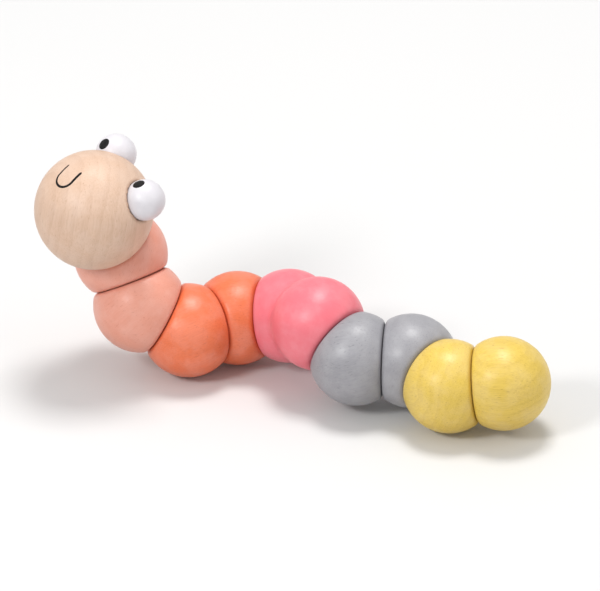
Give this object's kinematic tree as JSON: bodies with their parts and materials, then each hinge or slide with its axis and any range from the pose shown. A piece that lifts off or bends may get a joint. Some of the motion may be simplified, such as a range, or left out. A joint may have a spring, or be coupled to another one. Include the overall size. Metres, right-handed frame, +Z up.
{
  "type": "twisting wooden worm toy",
  "caption": "Wooden worm of coloured balls on an elastic cord; every ball is a bent link, so turning its flat joints twists the body into new poses.",
  "frame": {"origin": "on the table under the middle of the posed toy's bounding box", "axes": "+X along the body from head to tail, +Y away from the side that the face looks to, +Z up"},
  "size_m": [0.1748, 0.0804, 0.0825],
  "materials": {
    "wood_natural": "bare beech, fine sanded, satin oil",
    "paint_salmon": "thin satin stain over wood, faint grain",
    "paint_coral": "satin stain over wood, faint grain",
    "paint_pink": "satin paint over wood, almost opaque",
    "paint_grey": "satin stain over wood, faint grain",
    "paint_yellow": "thin satin stain over wood, clear grain",
    "paint_white": "satin paint over wood",
    "paint_black": "satin paint",
    "wood_dowel": "bare wood",
    "elastic": "matte braided elastic"
  },
  "bodies": {
    "head": {"head": "wood_natural", "eye_left": "paint_white", "eye_right": "paint_white", "eye_dowel_left": "wood_dowel", "eye_dowel_right": "wood_dowel", "pupil_left": "paint_black", "pupil_right": "paint_black", "smile": "paint_black", "sleeve_head": "wood_dowel", "cord_head": "elastic"},
    "salmon_1": {"ball_salmon_1": "paint_salmon", "sleeve_salmon": "wood_dowel", "cord_salmon_1": "elastic"},
    "salmon_2": {"ball_salmon_2": "paint_salmon", "sleeve_salmon_coral": "wood_dowel", "cord_salmon_2": "elastic"},
    "coral_1": {"ball_coral_1": "paint_coral", "sleeve_coral": "wood_dowel", "cord_coral_1": "elastic"},
    "coral_2": {"ball_coral_2": "paint_coral", "sleeve_coral_pink": "wood_dowel", "cord_coral_2": "elastic"},
    "pink": {"piece_pink": "paint_pink", "sleeve_pink_grey": "wood_dowel", "cord_pink": "elastic"},
    "grey_1": {"ball_grey_1": "paint_grey", "sleeve_grey": "wood_dowel", "cord_grey_1": "elastic"},
    "grey_2": {"ball_grey_2": "paint_grey", "sleeve_grey_yellow": "wood_dowel", "cord_grey_2": "elastic"},
    "yellow_1": {"ball_yellow_1": "paint_yellow", "sleeve_yellow": "wood_dowel", "cord_yellow_1": "elastic"},
    "yellow_2": {"ball_yellow_2": "paint_yellow", "cord_yellow_2": "elastic", "knot_tail": "elastic", "plug_tail": "paint_yellow"}
  },
  "joints": [
    {"name": "turn_coral_pink", "type": "hinge", "parent": "pink", "child": "coral_2", "pos_m": [-0.00981, 0.02116, 0.01773], "axis": [-0.9532, 0.2384, -0.1857], "continuous": true},
    {"name": "turn_coral", "type": "hinge", "parent": "coral_2", "child": "coral_1", "pos_m": [-0.02698, 0.01918, 0.016], "axis": [-0.8925, -0.4511, 0], "continuous": true},
    {"name": "turn_salmon_coral", "type": "hinge", "parent": "coral_1", "child": "salmon_2", "pos_m": [-0.04347, 0.01587, 0.02031], "axis": [-0.8808, 0.0951, 0.4639], "continuous": true},
    {"name": "turn_salmon", "type": "hinge", "parent": "salmon_2", "child": "salmon_1", "pos_m": [-0.05496, 0.02047, 0.03249], "axis": [-0.3556, 0.3994, 0.845], "continuous": true},
    {"name": "turn_head", "type": "hinge", "parent": "salmon_1", "child": "head", "pos_m": [-0.06157, 0.02124, 0.04853], "axis": [-0.355, -0.3165, 0.8797], "continuous": true},
    {"name": "turn_pink_grey", "type": "hinge", "parent": "pink", "child": "grey_1", "pos_m": [0.01523, -0.00164, 0.02155], "axis": [0.6967, -0.6137, -0.3714], "continuous": true},
    {"name": "turn_grey", "type": "hinge", "parent": "grey_1", "child": "grey_2", "pos_m": [0.03098, -0.00808, 0.0181], "axis": [0.9968, -0.0795, 0.0003], "continuous": true},
    {"name": "turn_grey_yellow", "type": "hinge", "parent": "grey_2", "child": "yellow_1", "pos_m": [0.04666, -0.01549, 0.01705], "axis": [0.6884, -0.7165, -0.113], "continuous": true},
    {"name": "turn_yellow", "type": "hinge", "parent": "yellow_1", "child": "yellow_2", "pos_m": [0.06223, -0.02317, 0.01716], "axis": [0.9862, -0.1093, 0.1246], "continuous": true}
  ]
}
